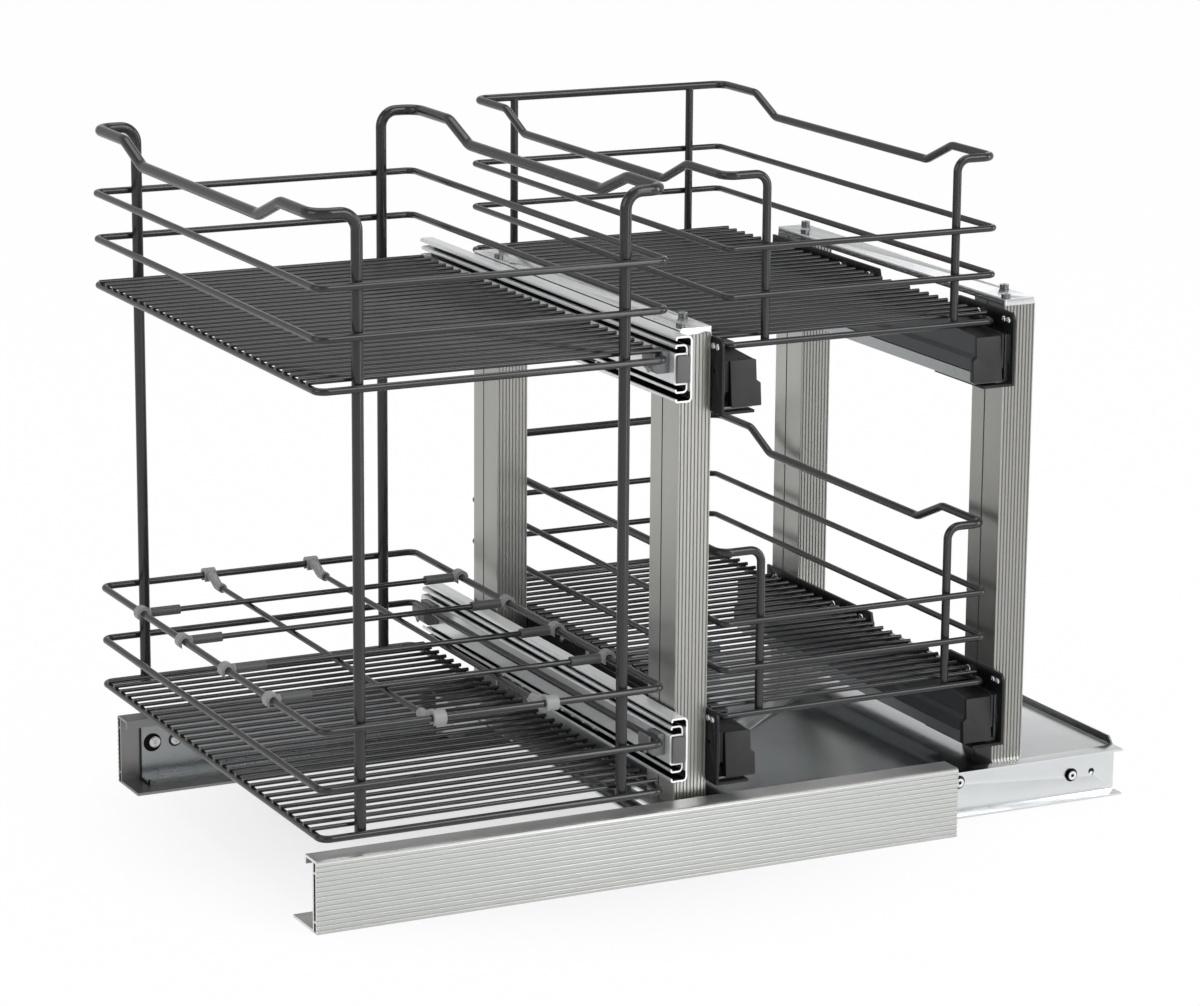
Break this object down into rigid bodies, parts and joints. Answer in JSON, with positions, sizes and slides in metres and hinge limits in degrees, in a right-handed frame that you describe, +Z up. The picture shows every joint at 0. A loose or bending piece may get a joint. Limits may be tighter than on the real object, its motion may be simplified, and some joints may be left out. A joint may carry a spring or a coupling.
{
  "type": "pull-out cabinet rack",
  "caption": "Corner-cabinet pull-out: floor rails, a rolling tray with posts, two joined wire baskets on ball slides and two rear wire baskets on undermount runners.",
  "frame": {"origin": "centre of the rails' four fixing holes, on the surface that the rails stand on", "axes": "+X along the rails towards the rear baskets, +Y into the cabinet, +Z up"},
  "size_m": [0.643, 0.4421, 0.488],
  "materials": {
    "rail_aluminium": "fluted, satin",
    "zinc_steel": "galvanised",
    "slide_steel": "bright zinc",
    "dark_steel": "satin",
    "screw_steel": "zinc plated",
    "roller_plastic": "plain",
    "post_aluminium": "anodised, fluted",
    "black_steel": "satin black",
    "wire_coating": "anthracite powder coat",
    "clip_plastic": "plain",
    "dark_plastic": "plain"
  },
  "bodies": {
    "base": {"rail_front": "rail_aluminium", "rail_far": "rail_aluminium", "track_front": "zinc_steel", "track_far": "zinc_steel", "track_screws": "screw_steel", "track_roller_axles": "screw_steel"},
    "track_roller_front": {"track_roller_front": "roller_plastic"},
    "track_roller_far": {"track_roller_far": "roller_plastic"},
    "frame": {"tray": "zinc_steel", "tray_screws": "screw_steel", "tray_roller_axles": "screw_steel", "post_front_left": "post_aluminium", "post_back_left": "post_aluminium", "post_front_right": "post_aluminium", "post_back_right": "post_aluminium", "top_plate_left": "zinc_steel", "top_plate_right": "zinc_steel", "top_plate_screws": "screw_steel", "bracket_upper_left": "black_steel", "bracket_upper_right": "black_steel", "bracket_lower_left": "black_steel", "bracket_lower_right": "black_steel", "bracket_screws": "screw_steel", "slide_outer_upper": "slide_steel", "slide_outer_lower": "slide_steel", "runner_base_upper": "slide_steel", "runner_base_lower": "slide_steel"},
    "tray_roller_front": {"tray_roller_front": "roller_plastic"},
    "tray_roller_far": {"tray_roller_far": "roller_plastic"},
    "slide_middle": {"slide_middle_upper": "slide_steel", "slide_middle_lower": "slide_steel"},
    "slide_balls_outer": {"slide_balls_outer": "screw_steel"},
    "slide_balls_inner": {"slide_balls_inner": "screw_steel"},
    "front_unit": {"slide_inner_upper": "slide_steel", "slide_inner_lower": "slide_steel", "slide_end_caps": "clip_plastic", "hook_blocks_upper": "dark_plastic", "hook_blocks_lower": "dark_plastic", "front_loop_left": "wire_coating", "front_loop_right": "wire_coating", "front_upper_hoops": "wire_coating", "front_lower_hoops": "wire_coating", "front_upper_floor": "wire_coating", "front_lower_floor": "wire_coating"},
    "divider": {"divider_cross_rods": "wire_coating", "divider_long_rods": "wire_coating", "divider_clips": "clip_plastic"},
    "rear_upper_middle": {"runner_middle_upper": "slide_steel"},
    "rear_upper_basket": {"runner_moving_upper": "dark_steel", "runner_blocks_upper": "dark_plastic", "rear_upper_loops": "wire_coating", "rear_upper_hoops": "wire_coating", "rear_upper_floor": "wire_coating"},
    "rear_lower_middle": {"runner_middle_lower": "slide_steel"},
    "rear_lower_basket": {"runner_moving_lower": "dark_steel", "runner_blocks_lower": "dark_plastic", "rear_lower_loops": "wire_coating", "rear_lower_hoops": "wire_coating", "rear_lower_floor": "wire_coating"}
  },
  "joints": [
    {"name": "frame_slide", "type": "slide", "parent": "base", "child": "frame", "axis": [-1, 0, 0], "range_m": [0, 0.24]},
    {"name": "track_roller_front_spin", "type": "hinge", "parent": "base", "child": "track_roller_front", "pos_m": [0.14, -0.17555, 0.0274], "axis": [0, 1, 0], "continuous": true},
    {"name": "tray_roller_front_spin", "type": "hinge", "parent": "frame", "child": "tray_roller_front", "pos_m": [0.02, -0.17555, 0.0186], "axis": [0, 1, 0], "continuous": true},
    {"name": "track_roller_far_spin", "type": "hinge", "parent": "base", "child": "track_roller_far", "pos_m": [0.14, 0.17555, 0.0274], "axis": [0, 1, 0], "continuous": true},
    {"name": "tray_roller_far_spin", "type": "hinge", "parent": "frame", "child": "tray_roller_far", "pos_m": [0.02, 0.17555, 0.0186], "axis": [0, 1, 0], "continuous": true},
    {"name": "front_baskets_slide", "type": "slide", "parent": "frame", "child": "front_unit", "axis": [0, -1, 0], "range_m": [0, 0.4]},
    {"name": "slide_middle_travel", "type": "slide", "parent": "frame", "child": "slide_middle", "axis": [0, -1, 0], "range_m": [0, 0.2]},
    {"name": "slide_balls_outer_travel", "type": "slide", "parent": "frame", "child": "slide_balls_outer", "axis": [0, -1, 0], "range_m": [0, 0.1]},
    {"name": "slide_balls_inner_travel", "type": "slide", "parent": "frame", "child": "slide_balls_inner", "axis": [0, -1, 0], "range_m": [0, 0.3]},
    {"name": "divider_lift", "type": "slide", "parent": "front_unit", "child": "divider", "axis": [0, 0, 1], "range_m": [0, 0.05]},
    {"name": "rear_upper_slide", "type": "slide", "parent": "frame", "child": "rear_upper_basket", "axis": [0, -1, 0], "range_m": [0, 0.31]},
    {"name": "rear_upper_middle_travel", "type": "slide", "parent": "frame", "child": "rear_upper_middle", "axis": [0, -1, 0], "range_m": [0, 0.155]},
    {"name": "rear_lower_slide", "type": "slide", "parent": "frame", "child": "rear_lower_basket", "axis": [0, -1, 0], "range_m": [0, 0.31]},
    {"name": "rear_lower_middle_travel", "type": "slide", "parent": "frame", "child": "rear_lower_middle", "axis": [0, -1, 0], "range_m": [0, 0.155]}
  ],
  "couplings": [
    {"joint": "track_roller_front_spin", "follows": "frame_slide", "rad_per_m": -67.568},
    {"joint": "track_roller_far_spin", "follows": "frame_slide", "rad_per_m": -67.568},
    {"joint": "tray_roller_front_spin", "follows": "frame_slide", "rad_per_m": -67.568},
    {"joint": "tray_roller_far_spin", "follows": "frame_slide", "rad_per_m": -67.568},
    {"joint": "slide_middle_travel", "follows": "front_baskets_slide", "ratio": 0.5},
    {"joint": "slide_balls_outer_travel", "follows": "front_baskets_slide", "ratio": 0.25},
    {"joint": "slide_balls_inner_travel", "follows": "front_baskets_slide", "ratio": 0.75},
    {"joint": "rear_upper_middle_travel", "follows": "rear_upper_slide", "ratio": 0.5},
    {"joint": "rear_lower_middle_travel", "follows": "rear_lower_slide", "ratio": 0.5}
  ]
}
